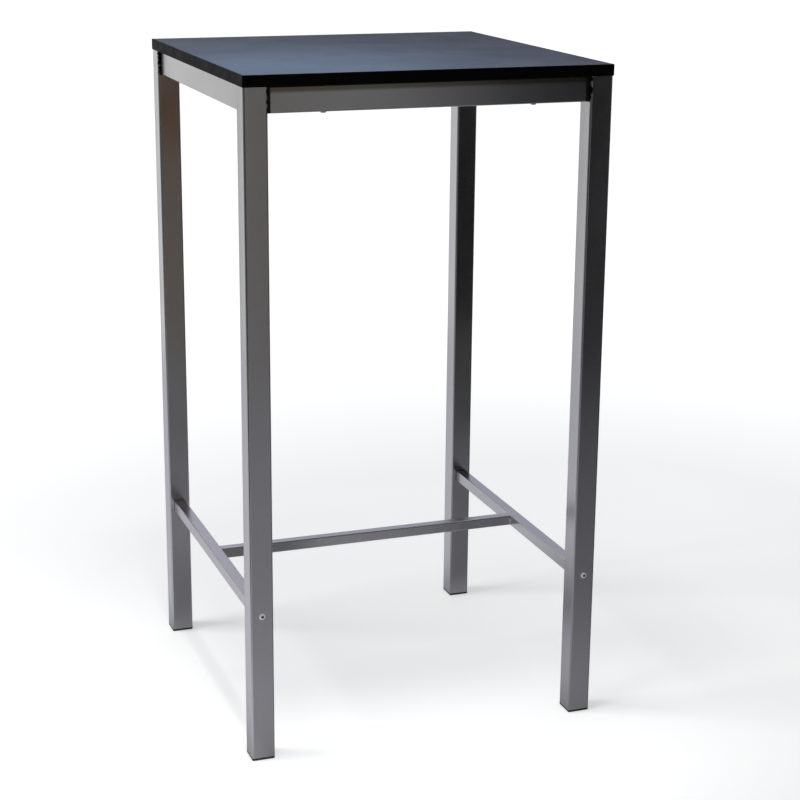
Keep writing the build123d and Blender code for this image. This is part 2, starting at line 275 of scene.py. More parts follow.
def folded_sides(tree, place):
    """|X|, |Y| and |Z| of a place."""
    fold = add_node(tree, "ShaderNodeVectorMath", {0: place}, operation="ABSOLUTE")
    return sides(tree, fold.outputs["Vector"])


# ---- Shader node groups: effects that several finishes share ----
def new_group(name, values, output):
    """An empty node group that takes Vector and named values and puts out one value.

    It comes with the outputs of its first node, by label, and the input of its last one.
    """
    group = bpy.data.node_groups.new(name, "ShaderNodeTree")
    group.interface.new_socket("Vector", in_out="INPUT", socket_type="NodeSocketVector")
    for label, value in values.items():
        kind = "NodeSocketFloat" if isinstance(value, float) else "NodeSocketVector"
        socket = group.interface.new_socket(label, in_out="INPUT", socket_type=kind)
        socket.default_value = value
    group.interface.new_socket(output, in_out="OUTPUT", socket_type="NodeSocketFloat")
    given = group.nodes.new("NodeGroupInput").outputs
    result = group.nodes.new("NodeGroupOutput").inputs[output]
    return group, given, result


def mottle_group():
    """Soft cloudy value: noise at a scale, mapped from its middle range to Low and High."""
    group, given, result = new_group("soft_mottle", {"Scale": 20.0, "Low": 0.0, "High": 1.0}, "Value")
    cloud = noise(group, given["Vector"], given["Scale"], 4.0, 0.55)
    group.links.new(slope(group, cloud, 0.32, 0.68, given["Low"], given["High"]), result)
    return group


def flake_group():
    """Tiny flecks: the share of random cells at a scale that lie above 1 - Amount."""
    group, given, result = new_group("fine_flecks", {"Scale": 2500.0, "Amount": 0.1}, "Mask")
    cells = add_node(
        group,
        "ShaderNodeTexVoronoi",
        {"Vector": given["Vector"], "Scale": given["Scale"]},
        voronoi_dimensions="3D",
    )
    pick = add_node(group, "ShaderNodeSeparateColor", {"Color": cells.outputs["Color"]})
    limit = maths(group, "SUBTRACT", 1.0, given["Amount"])
    group.links.new(maths(group, "GREATER_THAN", pick.outputs["Red"], limit), result)
    return group


def skin_group():
    """Height of a moulded, sprayed or pressed skin: broad waves plus fine grain."""
    values = {"Waves": 300.0, "Grain": 2500.0, "Grain Share": 0.3}
    group, given, result = new_group("surface_skin", values, "Height")
    waves = noise(group, given["Vector"], given["Waves"], 2.0, 0.4)
    grain = noise(group, given["Vector"], given["Grain"], 1.0, 0.5)
    part = maths(group, "MULTIPLY", grain, given["Grain Share"])
    group.links.new(maths(group, "ADD", waves, part), result)
    return group


def lines_group():
    """Fine lines drawn out along one direction: noise on a vector stretched by Stretch."""
    values = {"Stretch": (1.0, 1.0, 1.0), "Low": 0.0, "High": 1.0}
    group, given, result = new_group("drawn_lines", values, "Value")
    inputs = {0: given["Vector"], 1: given["Stretch"]}
    stretched = add_node(group, "ShaderNodeVectorMath", inputs, operation="MULTIPLY")
    streaks = noise(group, stretched.outputs["Vector"], 1.0, 3.0, 0.6)
    group.links.new(slope(group, streaks, 0.35, 0.65, given["Low"], given["High"]), result)
    return group


def tube_hollow_group():
    """Height of tube faces drawn in a little along their middles, in squares of the half width.

    With u and v the distances of |X| and |Y| from Centre, each held between -Half and Half, it is
    (u^2 + v^2) / Half^2. Along a leg or a bar at Centre that gives a shallow trough on each face.
    """
    group, given, result = new_group("tube_hollow", {"Centre": 0.28, "Half": 0.019}, "Height")
    place = folded_sides(group, given["Vector"])
    squares = []
    for axis in "XY":
        off = maths(group, "SUBTRACT", place[axis], given["Centre"])
        share = maths(group, "DIVIDE", off, given["Half"])
        held = add_node(group, "ShaderNodeClamp", {"Value": share, "Min": -1.0, "Max": 1.0})
        squares.append(maths(group, "MULTIPLY", held.outputs["Result"], held.outputs["Result"]))
    group.links.new(maths(group, "ADD", *squares), result)
    return group


def socket_shade_group():
    """Mask of painted shade in a bolt's socket: 1 within Radius of an axis along Y at |X| = Centre and
    Z = Height.
    """
    values = {"Centre": 0.28, "Height": 0.25, "Radius": 0.0022}
    group, given, result = new_group("socket_painted_shade", values, "Mask")
    place = folded_sides(group, given["Vector"])
    across = maths(group, "SUBTRACT", place["X"], given["Centre"])
    up = maths(group, "SUBTRACT", place["Z"], given["Height"])
    flat = add_node(group, "ShaderNodeCombineXYZ", {"X": across, "Y": up})
    off = add_node(group, "ShaderNodeVectorMath", {0: flat.outputs["Vector"]}, operation="LENGTH")
    group.links.new(maths(group, "LESS_THAN", off.outputs["Value"], given["Radius"]), result)
    return group


def floor_dust_group():
    """Mask of dust near the floor: it fades out at Reach above it, broken up by noise."""
    group, given, result = new_group("floor_dust", {"Reach": 0.08, "Amount": 0.4}, "Mask")
    fade = slope(group, sides(group, given["Vector"])["Z"], 0.0, given["Reach"], 1.0, 0.0)
    broken = maths(group, "MULTIPLY", fade, noise(group, given["Vector"], 90.0, 5.0, 0.65))
    group.links.new(maths(group, "MULTIPLY", broken, given["Amount"]), result)
    return group


def overhang_group():
    """Mask of painted shade under an overhang at Height, where |X| < Half Length.

    It is 1 down to half of Reach below Height and gone at Reach.
    """
    values = {"Height": 1.0, "Reach": 0.01, "Half Length": 0.25}
    group, given, result = new_group("overhang_painted_shade", values, "Mask")
    place = folded_sides(group, given["Vector"])
    foot = maths(group, "SUBTRACT", given["Height"], given["Reach"])
    full = maths(group, "MULTIPLY_ADD", given["Reach"], -0.5, given["Height"])
    fade = slope(group, place["Z"], foot, full, 0.0, 1.0, interpolation_type="SMOOTHSTEP")
    inside = maths(group, "LESS_THAN", place["X"], given["Half Length"])
    group.links.new(maths(group, "MULTIPLY", fade, inside), result)
    return group


def joint_shade_group():
    """Mask of ragged painted shade where the rails end at the legs, with u as |X| or as |Y|.

    It is 1 where u lies between Rail End less Reach times a noise and Leg Edge plus Bite times that
    noise, above Foot less Reach times it, and where the larger of |X| and |Y| is over Inner.
    """
    values = {
        "Rail End": 0.25,
        "Leg Edge": 0.26,
        "Reach": 0.003,
        "Bite": 0.001,
        "Foot": 1.0,
        "Inner": 0.27,
    }
    group, given, result = new_group("joint_painted_shade", values, "Mask")
    place = folded_sides(group, given["Vector"])
    ragged = slope(group, noise(group, given["Vector"], 180.0, 2.0, 0.6), 0.40, 0.60, 0.0, 1.0)
    reach = maths(group, "MULTIPLY", given["Reach"], ragged)
    bite = maths(group, "MULTIPLY", given["Bite"], ragged)
    rail_side = maths(group, "SUBTRACT", given["Rail End"], reach)
    leg_side = maths(group, "ADD", given["Leg Edge"], bite)
    foot = maths(group, "SUBTRACT", given["Foot"], reach)
    strips = []
    for axis in "XY":
        past_rail = maths(group, "GREATER_THAN", place[axis], rail_side)
        before_leg = maths(group, "LESS_THAN", place[axis], leg_side)
        strips.append(maths(group, "MULTIPLY", past_rail, before_leg))
    strip = maths(group, "MAXIMUM", *strips)
    widest = maths(group, "MAXIMUM", place["X"], place["Y"])
    outer = maths(group, "GREATER_THAN", widest, given["Inner"])
    above = maths(group, "GREATER_THAN", place["Z"], foot)
    group.links.new(maths(group, "MULTIPLY", maths(group, "MULTIPLY", strip, outer), above), result)
    return group


GROUPS = {
    "mottle": mottle_group(),
    "flecks": flake_group(),
    "skin": skin_group(),
    "lines": lines_group(),
    "dust": floor_dust_group(),
    "hollow": tube_hollow_group(),
    "socket": socket_shade_group(),
    "overhang": overhang_group(),
    "joint": joint_shade_group(),
}


class Finish:
    """One finish: a Principled surface whose colour, roughness and bump come from shared effects."""

    def __init__(self, name, colour, roughness, metallic=0.0, specular=0.5):
        self.material = bpy.data.materials.new(name)
        self.material.use_nodes = True
        self.tree = self.material.node_tree
        self.shader = self.tree.nodes["Principled BSDF"]
        self.shader.inputs["Base Color"].default_value = (*colour, 1.0)
        self.shader.inputs["Roughness"].default_value = roughness
        self.shader.inputs["Metallic"].default_value = metallic
        self.shader.inputs["Specular IOR Level"].default_value = specular
        self.where = self.tree.nodes.new("ShaderNodeTexCoord").outputs["Object"]
        self.colour = colour
        self.colour_out = None
        self.material.diffuse_color = (*colour, 1.0)

    def effect(self, group, **values):
        """The output of a shared effect placed on object coordinates with its own values."""
        node = self.tree.nodes.new("ShaderNodeGroup")
        node.node_tree = GROUPS[group]
        for label, value in values.items():
            node.inputs[label.replace("_", " ")].default_value = value
        self.tree.links.new(self.where, node.inputs["Vector"])
        return node.outputs[0]

    def tint(self, mask, colour):
        """Blend the colour so far towards another where a mask is 1."""
        so_far = (*self.colour, 1.0) if self.colour_out is None else self.colour_out
        inputs = {"A": so_far, "B": (*colour, 1.0), "Factor": mask}
        mix = add_node(self.tree, "ShaderNodeMix", inputs, data_type="RGBA", clamp_factor=True)
        self.colour_out = mix.outputs["Result"]
        self.tree.links.new(self.colour_out, self.shader.inputs["Base Color"])

    def rough(self, value):
        """Roughness that changes over the surface."""
        self.tree.links.new(value, self.shader.inputs["Roughness"])

    def bump(self, height, distance):
        """Relief whose full height is distance, in metres, on top of the relief so far."""
        inputs = {"Height": height, "Distance": distance, "Strength": 1.0}
        node = add_node(self.tree, "ShaderNodeBump", inputs)
        for link in self.shader.inputs["Normal"].links:
            self.tree.links.new(link.from_socket, node.inputs["Normal"])
        self.tree.links.new(node.outputs["Normal"], self.shader.inputs["Normal"])


# ---- Finishes ----
def powder_coat():
    """Graphite silver powder coat on steel: metal flake, a slight orange peel, dusty near the floor.

    The front and rear rails have shade painted along the top, where the tabletop stands out over them,
    and all rails have near-black shade painted raggedly in the joints at their ends.
    """
    finish = Finish("graphite_silver_powder_coat", (0.478, 0.476, 0.488), 0.32, metallic=0.97)
    finish.tint(finish.effect("mottle", Scale=6.0, Low=0.0, High=0.25), (0.43, 0.435, 0.445))
    drawn = finish.effect("lines", Stretch=(260.0, 260.0, 5.0), Low=0.0, High=0.16)
    finish.tint(drawn, (0.40, 0.40, 0.41))
    finish.tint(finish.effect("flecks", Scale=2200.0, Amount=0.08), (0.58, 0.58, 0.58))
    finish.tint(finish.effect("dust", Reach=0.09, Amount=0.35), (0.42, 0.41, 0.39))
    # Painted shade: the rails' tops darkened where the tabletop's overhang shades them.
    overhang = finish.effect("overhang", Height=APRON_UPPER, Reach=0.012, Half_Length=LEG_INNER)
    finish.tint(overhang, (0.21, 0.195, 0.15))
    # Painted shade: a near-black ragged strip in the joints where the rails end at the legs.
    joint = finish.effect(
        "joint",
        Rail_End=RAIL_END,
        Leg_Edge=LEG_INNER,
        Reach=0.0008,
        Bite=0.0030,
        Foot=APRON_LOWER,
        Inner=APRON_INNER - BRACE_MARGIN,
    )
    finish.tint(joint, (0.015, 0.015, 0.015))
    finish.rough(finish.effect("mottle", Scale=9.0, Low=0.23, High=0.27))
    finish.bump(finish.effect("hollow", Centre=LEG_CENTRE, Half=LEG_HALF), 0.00016)
    finish.bump(finish.effect("skin", Waves=420.0, Grain=2600.0, Grain_Share=0.35), 0.00003)
    return finish.material


def slate_laminate():
    """Dark slate high-pressure laminate: fine pearl texture, faint clouding and pale specks."""
    finish = Finish("slate_laminate", (0.023, 0.038, 0.060), 0.5, specular=0.14)
    finish.tint(finish.effect("mottle", Scale=5.0, Low=0.0, High=0.6), (0.030, 0.045, 0.067))
    finish.tint(finish.effect("flecks", Scale=900.0, Amount=0.02), (0.065, 0.080, 0.12))
    finish.rough(finish.effect("mottle", Scale=9.0, Low=0.46, High=0.54))
    finish.bump(finish.effect("skin", Waves=900.0, Grain=3200.0, Grain_Share=0.6), 0.00006)
    return finish.material


def black_edge_band():
    """Satin black edge band: lines drawn along the strip and a fine grain."""
    finish = Finish("black_edge_band", (0.0009, 0.0009, 0.0011), 0.55, specular=0.05)
    drawn = finish.effect("lines", Stretch=(6.0, 6.0, 900.0), Low=0.0, High=0.7)
    finish.tint(drawn, (0.0022, 0.0022, 0.0027))
    finish.rough(finish.effect("mottle", Scale=40.0, Low=0.50, High=0.62))
    finish.bump(finish.effect("skin", Waves=700.0, Grain=3000.0, Grain_Share=0.4), 0.00004)
    return finish.material


def black_plastic():
    """Moulded black polyethylene: spark-eroded grain with a grey bloom."""
    finish = Finish("black_moulded_plastic", (0.005, 0.005, 0.005), 0.6, specular=0.2)
    finish.tint(finish.effect("mottle", Scale=120.0, Low=0.0, High=0.5), (0.010, 0.010, 0.010))
    finish.tint(finish.effect("dust", Reach=0.012, Amount=0.7), (0.10, 0.095, 0.085))
    finish.rough(finish.effect("mottle", Scale=300.0, Low=0.48, High=0.66))
    finish.bump(finish.effect("skin", Waves=1500.0, Grain=4000.0, Grain_Share=0.5), 0.00005)
    return finish.material


def zinc_plate():
    """Bright zinc plate: cloudy passivation and drawn lines."""
    finish = Finish("zinc_plated_steel", (0.60, 0.60, 0.58), 0.30, metallic=1.0)
    finish.tint(finish.effect("mottle", Scale=180.0, Low=0.0, High=0.8), (0.66, 0.64, 0.55))
    finish.rough(finish.effect("mottle", Scale=260.0, Low=0.22, High=0.40))
    finish.bump(finish.effect("lines", Stretch=(300.0, 300.0, 2600.0)), 0.00002)
    return finish.material


def black_zinc():
    """Black zinc screws, worn a little bright."""
    finish = Finish("black_zinc_screw", (0.06, 0.06, 0.062), 0.38, metallic=0.9)
    finish.tint(finish.effect("mottle", Scale=400.0, Low=0.0, High=0.5), (0.16, 0.16, 0.16))
    finish.rough(finish.effect("mottle", Scale=300.0, Low=0.3, High=0.5))
    finish.bump(finish.effect("skin", Waves=900.0, Grain=4000.0, Grain_Share=0.4), 0.00003)
    return finish.material


def nickel_plate():
    """Bright plated bolts: fine turning marks, slight clouding, and shade painted into the hex
    sockets.
    """
    finish = Finish("bright_plated_bolt", (0.95, 0.95, 0.94), 0.22, metallic=0.6)
    finish.tint(finish.effect("mottle", Scale=500.0, Low=0.0, High=0.4), (0.86, 0.86, 0.84))
    # Painted shade: the hex socket of each button head darkened almost to black.
    socket = finish.effect("socket", Centre=LEG_CENTRE, Height=STRETCHER_HEIGHT)
    finish.tint(socket, (0.03, 0.03, 0.03))
    finish.rough(finish.effect("mottle", Scale=600.0, Low=0.16, High=0.30))
    finish.bump(finish.effect("lines", Stretch=(900.0, 200.0, 900.0)), 0.00001)
    return finish.material


def backing_sheet():
    """Matt brown-black balancing laminate: paper fibres and a satin press texture."""
    finish = Finish("balancing_laminate", (0.034, 0.030, 0.027), 0.62, specular=0.35)
    fibres = finish.effect("lines", Stretch=(30.0, 420.0, 30.0), Low=0.0, High=0.6)
    finish.tint(fibres, (0.055, 0.049, 0.043))
    finish.tint(finish.effect("flecks", Scale=500.0, Amount=0.03), (0.020, 0.018, 0.017))
    finish.rough(finish.effect("mottle", Scale=14.0, Low=0.55, High=0.70))
    finish.bump(finish.effect("skin", Waves=500.0, Grain=2200.0, Grain_Share=0.7), 0.00007)
    return finish.material


def particle_board():
    """Particle board: pale chips in a darker binder."""
    finish = Finish("particle_board", (0.50, 0.37, 0.22), 0.85, specular=0.3)
    finish.tint(finish.effect("flecks", Scale=650.0, Amount=0.45), (0.64, 0.50, 0.32))
    finish.tint(finish.effect("flecks", Scale=420.0, Amount=0.15), (0.30, 0.20, 0.11))
    finish.rough(finish.effect("mottle", Scale=200.0, Low=0.75, High=0.92))
    finish.bump(finish.effect("skin", Waves=600.0, Grain=1500.0, Grain_Share=0.8), 0.0003)
    return finish.material


FINISHES = {
    "painted_steel": powder_coat(),
    "top_laminate": slate_laminate(),
    "edge_band": black_edge_band(),
    "plug_plastic": black_plastic(),
    "zinc_steel": zinc_plate(),
    "dark_screw": black_zinc(),
    "bright_bolt": nickel_plate(),
    "backing_laminate": backing_sheet(),
    "board": particle_board(),
}

for part in frame["record"]["subparts"]:
    node = frame["nodes"][part["node"]]
    node.data.materials.clear()
    node.data.materials.append(FINISHES[part["material_slot"]])


# ---- Button head bolts through the legs ----
BOLT_CROWN_RADIUS = 0.0032
BOLT_HEAD_RADIUS = 0.00525
BOLT_HEAD_HEIGHT = 0.0033
BOLT_DOME_HEIGHT = 0.0027
# Rows of rings from the bottom pole: radius, height and hex share
BOLT_SOCKET = (
    (0.0, -0.0008, 1.0),
    (0.0018, -0.0012, 1.0),
    (0.0020, -0.0013, 1.0),
    (0.0020, -0.0030, 1.0),
    (0.00235, -0.0033, 0.3),
    (0.0027, -0.00335, 0.0),
)
BOLT_SHANK = (
    (BOLT_HEAD_RADIUS, 0.0, 0.0),
    (0.0030, 0.0, 0.0),
    (0.0030, 0.0595, 0.0),
    (0.0026, 0.060, 0.0),
    (0.0, 0.060, 0.0),
)


def button_bolt():
    """Domed head with a hexagonal socket, below z = 0, on a plain shank above it.

    The dome is a quarter of an ellipse from the crown to the rim: the radius grows as the sine of a
    quarter turn, and the height as 1 less its cosine. Inside a small round lip the socket's wall is a
    hexagon, and its floor is a shallow cone.
    """
    turn = math.pi / 2 * np.linspace(0, 1, 9)
    outer = BOLT_CROWN_RADIUS + (BOLT_HEAD_RADIUS - BOLT_CROWN_RADIUS) * np.sin(turn)
    rise = -BOLT_HEAD_HEIGHT + BOLT_DOME_HEIGHT * (1 - np.cos(turn))
    dome = np.column_stack([outer, rise, np.zeros_like(outer)])
    return turned(*np.concatenate([BOLT_SOCKET, dome, BOLT_SHANK]).T)


bolts = Shell()
bolt_points, bolt_faces = button_bolt()
bolt_place = (LEG_CENTRE, LEG_OUTER, STRETCHER_HEIGHT)
bolts.add_at_corners(placed(bolt_points, bolt_place, (0, -1, 0), (0.96, 0, 0.28)), bolt_faces)
bolts.piece("button_head_bolts", "stretcher_bolts", FINISHES["bright_bolt"])


# ---- Corner bolts with their washers ----
WASHER_FACE_HEIGHT = 0.0003
HEAD_CHAMFER_HEIGHT = 0.0002
WASHER_EDGE = 0.0002
SPRING_CLIMB = 0.0004
SPRING_SLIT = math.radians(12)
RING_FACETS = 48


def hex_head(flats, low, high):
    """Hexagonal head from low to high, washer face below and a turned cone on top."""
    half = flats / 2
    face, edge = low + WASHER_FACE_HEIGHT, high - HEAD_CHAMFER_HEIGHT
    radii = [0.0, half * 0.93, half * 0.93, half, half, half * 0.96, half * 0.5, 0.0]
    heights = [low, low, face, face, edge, high, high, high]
    hexes = [0.0, 0.0, 0.0, 1.0, 1.0, 0.0, 0.0, 0.0]
    return turned(radii, heights, hexes, flat_step=0.55)


def washer(inner, outer, low, high):
    """Flat ring with its outer edges broken, as one closed strip round the section."""
    edge = WASHER_EDGE
    radii = [inner, outer - edge, outer, outer, outer - edge, inner]
    heights = [low, low, low + edge, high - edge, high, high]
    points, _ = turned(radii, heights, facets=RING_FACETS)
    return points, grid_faces(len(radii), RING_FACETS, closed_rows=True)[:, ::-1]


def split_washer(inner, outer, low, thickness):
    """Spring washer: an upright section carried round one turn that climbs by 0.4 mm.

    A flat face closes each end of it at the slit.
    """
    turns = np.linspace(SPRING_SLIT / 2, 2 * math.pi - SPRING_SLIT / 2, 61)
    climb = SPRING_CLIMB * (turns - turns[0]) / (turns[-1] - turns[0])
    section = np.array([(inner, 0), (outer, 0), (outer, thickness), (inner, thickness)])
    radius, height = section[:, 0], section[:, 1]
    x, y = np.cos(turns)[:, None] * radius, np.sin(turns)[:, None] * radius
    points = np.stack([x, y, low + climb[:, None] + height[None, :]], axis=2)
    last = (len(turns) - 1) * 4
    ends = np.array([[0, 1, 2, 3], [last + 3, last + 2, last + 1, last]])
    return points, np.concatenate([grid_faces(len(turns), 4), ends])


FLAT_WASHER = 0.0014
SPRING_WASHER = 0.0020
corner_bolts = Shell()
corner_origin = (LEG_INNER, LEG_INNER, APRON_MIDDLE)
corner_axis, corner_across = (-1, -1, 0), (1, -1, 0)
flat_top = BRACE_FACE + FLAT_WASHER
spring_top = flat_top + SPRING_WASHER
for points, faces in (
    washer(inner=0.0043, outer=0.0085, low=BRACE_FACE, high=flat_top),
    split_washer(inner=0.0043, outer=0.0070, low=flat_top, thickness=0.0016),
    hex_head(flats=0.013, low=spring_top, high=spring_top + 0.0053),
    threaded(radius=0.0040, depth=0.0006, pitch=0.00125, start=spring_top, end=-0.0183),
):
    corner_bolts.add_at_corners(placed(points, corner_origin, corner_axis, corner_across), faces)
corner_bolts.piece("corner_bolts_and_washers", "corner_bolts", FINISHES["zinc_steel"])

# ---- Screws under the front and rear rails ----
panel_screws = Shell()
screw_place = (TOP_SCREW_X, APRON_CENTRE, APRON_LOWER)
screw_shank = turned(radii=[0.0, 0.0025, 0.0025, 0.0], heights=[-0.052, -0.0505, 0.0, 0.0])
for points, faces in (hex_head(flats=0.008, low=0.0, high=0.0022), screw_shank):
    panel_screws.add_at_corners(placed(points, screw_place, (0, 0, -1), (1, 0.4, 0)), faces)
panel_screws.piece("panel_screws", "top_screws", FINISHES["dark_screw"])

# ---- Weld beads: half their length, leg, pitch and seed ----
CROSS_WELD = (0.0072, 0.0030, 0.0019, 11)
BRACE_WELD = (0.0152, 0.0028, 0.0021, 31)
BEAD_ANGLE = 60.0
paint = FINISHES["painted_steel"]

stretcher_welds = Shell()
half, leg, pitch, seed = CROSS_WELD
for number, (sign_x, sign_y) in enumerate(CORNER_SIGNS):
    corner = np.array([sign_x * CROSS_REACH, sign_y * CROSS_HALF, STRETCHER_HEIGHT])
    low, high = corner - (0, 0, half), corner + (0, 0, half)
    bead = weld_bead(low, high, (-sign_x, 0, 0), (0, sign_y, 0), leg, pitch, seed + number)
    stretcher_welds.add(*bead)
stretcher_welds.piece("stretcher_weld_beads", "cross_bar_welds", paint, BEAD_ANGLE)

brace_welds = Shell()
half, leg, pitch, seed = BRACE_WELD
for number, (sign_x, sign_y) in enumerate(CORNER_SIGNS):
    for along, across, start in (
        ((-1, 0), (0, -1), (BRACE_FLANGE_END, APRON_INNER)),
        ((0, -1), (-1, 0), (APRON_INNER, BRACE_FLANGE_END)),
    ):
        signs = np.array([sign_x, sign_y, 1.0])
        foot = np.array([*start, APRON_MIDDLE]) * signs
        towards = np.array([*along, 0.0]) * signs
        away = np.array([*across, 0.0]) * signs
        low, high = foot - (0, 0, half), foot + (0, 0, half)
        brace_welds.add(*weld_bead(low, high, towards, away, leg, pitch, seed + number))
brace_welds.piece("brace_weld_beads", "brace_welds", paint, BEAD_ANGLE)


# ---- Studio: pale floor, white surround and the cards that the paint mirrors ----
def stage_surface(name, points, faces, material):
    """A surface of the studio, which isn't part of the table."""
    mesh = bpy.data.meshes.new(name)
    mesh.from_pydata(np.asarray(points, float).reshape(-1, 3).tolist(), [], faces.tolist())
    mesh.materials.append(material)
    thing = bpy.data.objects.new(name, mesh)
    bpy.context.scene.collection.objects.link(thing)
    thing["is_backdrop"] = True
    return thing


FLOOR_HALF = 40.0
FLOOR_DROP = 0.0002
FLOOR_COLOUR = (0.80, 0.80, 0.80)
FLOOR_GLOW_NEAR = 0.32
FLOOR_GLOW_RIGHT = 0.50
FLOOR_GLOW_FAR = 0.78
FLOOR_MIRROR_TINT = (1.0, 0.985, 1.055)
FLOOR_MIRROR_TONE = 0.48
FLOOR_MIRROR_GLOW = 0.48
FLOOR_MIDDLE = (0.14, -0.08, 0.0)
FLOOR_MIDDLE_GLOW = 0.30
FLOOR_SHADE = 0.08
# Slopes over the floor: axis, start and end in metres, value at each
FLOOR_SLOPES = {
    "right_glow": ("X", -0.6, 1.0, FLOOR_GLOW_NEAR, FLOOR_GLOW_RIGHT),
    "left_tone": ("X", -0.35, 0.10, 0.34, FLOOR_MIRROR_TONE),
    "right_tone": ("X", 0.10, 1.5, FLOOR_MIRROR_TONE, 0.05),
    "depth_tone": ("Y", -1.6, 0.2, 1.25, 0.90),
    "left_glow": ("X", -0.26, -0.38, 0.0, FLOOR_MIRROR_GLOW),
    "rear_glow": ("Y", 0.13, 0.48, 0.0, FLOOR_MIRROR_GLOW),
    "right_of_shade": ("X", -0.90, -0.45, FLOOR_SHADE, 1.0),
    "behind_shade": ("Y", -0.60, -0.30, FLOOR_SHADE, 1.0),
}


def floor_material():
    """Matt white paper that takes shadows, with a glow for the camera where the lamps fall off.

    Mirrored in the paint it is grey, by the smaller of two slopes along X, which fall off to the
    left and to the right, times a slope along Y, brighter towards the front. Its glow there is the
    largest of three: a slope to the left, a slope to the rear, and a patch in the middle that fades
    with the distance from its centre. Tone and glow are both shaded in front of the table on the
    left, by the larger of a slope along X and one along Y. Seen from below the floor lets the view
    through.
    """
    material = bpy.data.materials.new("studio_floor")
    material.use_nodes = True
    tree = material.node_tree
    tree.nodes.clear()
    output = tree.nodes.new("ShaderNodeOutputMaterial")
    path = tree.nodes.new("ShaderNodeLightPath").outputs
    where = tree.nodes.new("ShaderNodeTexCoord").outputs["Object"]
    axes = sides(tree, where)
    part = {name: slope(tree, axes[axis], *ends) for name, (axis, *ends) in FLOOR_SLOPES.items()}
    reach = add_node(tree, "ShaderNodeVectorMath", {0: where}, operation="LENGTH")
    far_glow = slope(tree, reach.outputs["Value"], 0.6, 2.6, FLOOR_GLOW_NEAR, FLOOR_GLOW_FAR)
    inputs = {0: where, 1: FLOOR_MIDDLE}
    from_middle = add_node(tree, "ShaderNodeVectorMath", inputs, operation="DISTANCE")
    middle_glow = slope(tree, from_middle.outputs["Value"], 0.06, 0.28, FLOOR_MIDDLE_GLOW, 0.0)

    reflected = maths(tree, "MAXIMUM", path["Is Glossy Ray"], path["Is Transmission Ray"])
    shade = maths(tree, "MAXIMUM", part["right_of_shade"], part["behind_shade"])
    side_tone = maths(tree, "MINIMUM", part["left_tone"], part["right_tone"])
    mirror_tone = maths(tree, "MULTIPLY", side_tone, part["depth_tone"])
    shaded_tone = maths(tree, "MULTIPLY", mirror_tone, shade)
    back_glow = maths(tree, "MAXIMUM", part["left_glow"], part["rear_glow"])
    mirror_glow = maths(tree, "MAXIMUM", back_glow, middle_glow)
    shaded_glow = maths(tree, "MULTIPLY", mirror_glow, shade)
    seen_glow = maths(tree, "MAXIMUM", far_glow, part["right_glow"])
    seen = maths(tree, "MULTIPLY", path["Is Camera Ray"], seen_glow)
    mirrored = maths(tree, "MULTIPLY", reflected, shaded_glow)
    strength = maths(tree, "ADD", seen, mirrored)

    inputs = {0: FLOOR_MIRROR_TINT, "Scale": shaded_tone}
    tinted = add_node(tree, "ShaderNodeVectorMath", inputs, operation="SCALE").outputs["Vector"]
    inputs = {"A": (*FLOOR_COLOUR, 1.0), "B": tinted, "Factor": reflected}
    tone = add_node(tree, "ShaderNodeMix", inputs, data_type="RGBA").outputs["Result"]
    inputs = {"A": (1.0, 1.0, 1.0, 1.0), "B": (*FLOOR_MIRROR_TINT, 1.0), "Factor": reflected}
    glow_colour = add_node(tree, "ShaderNodeMix", inputs, data_type="RGBA").outputs["Result"]
    paper = add_node(tree, "ShaderNodeBsdfDiffuse", {"Color": tone}).outputs["BSDF"]
    inputs = {"Color": glow_colour, "Strength": strength}
    glow = add_node(tree, "ShaderNodeEmission", inputs).outputs["Emission"]
    both = add_node(tree, "ShaderNodeAddShader", {0: paper, 1: glow}).outputs["Shader"]
    below = tree.nodes.new("ShaderNodeNewGeometry").outputs["Backfacing"]
    through = tree.nodes.new("ShaderNodeBsdfTransparent").outputs["BSDF"]
    choose = add_node(tree, "ShaderNodeMixShader", {0: below, 1: both, 2: through})
    tree.links.new(choose.outputs["Shader"], output.inputs["Surface"])
    return material


def card_material(name, colour):
    """Plain card that glows in one colour."""
    material = bpy.data.materials.new(name)
    material.use_nodes = True
    tree = material.node_tree
    tree.nodes.clear()
    output = tree.nodes.new("ShaderNodeOutputMaterial")
    face = add_node(tree, "ShaderNodeEmission", {"Color": (*colour, 1.0), "Strength": 1.0})
    tree.links.new(face.outputs["Emission"], output.inputs["Surface"])
    return material


def card(name, points, colour):
    """A card between two rows of points, seen only where the table mirrors it."""
    rows, columns = 2, len(points) // 2
    faces = grid_faces(rows, columns, closed_columns=False)
    thing = stage_surface(name, points, faces, card_material(name, colour))
    thing.visible_camera = False
    thing.visible_diffuse = False
    thing.visible_shadow = False
    thing.visible_transmission = False


floor_corners = np.array([(-1, -1), (1, -1), (1, 1), (-1, 1)], float) * FLOOR_HALF
floor_points = np.column_stack([floor_corners, np.full(4, -FLOOR_DROP)])
stage_surface("studio_floor", floor_points, np.array([[0, 1, 2, 3]]), floor_material())

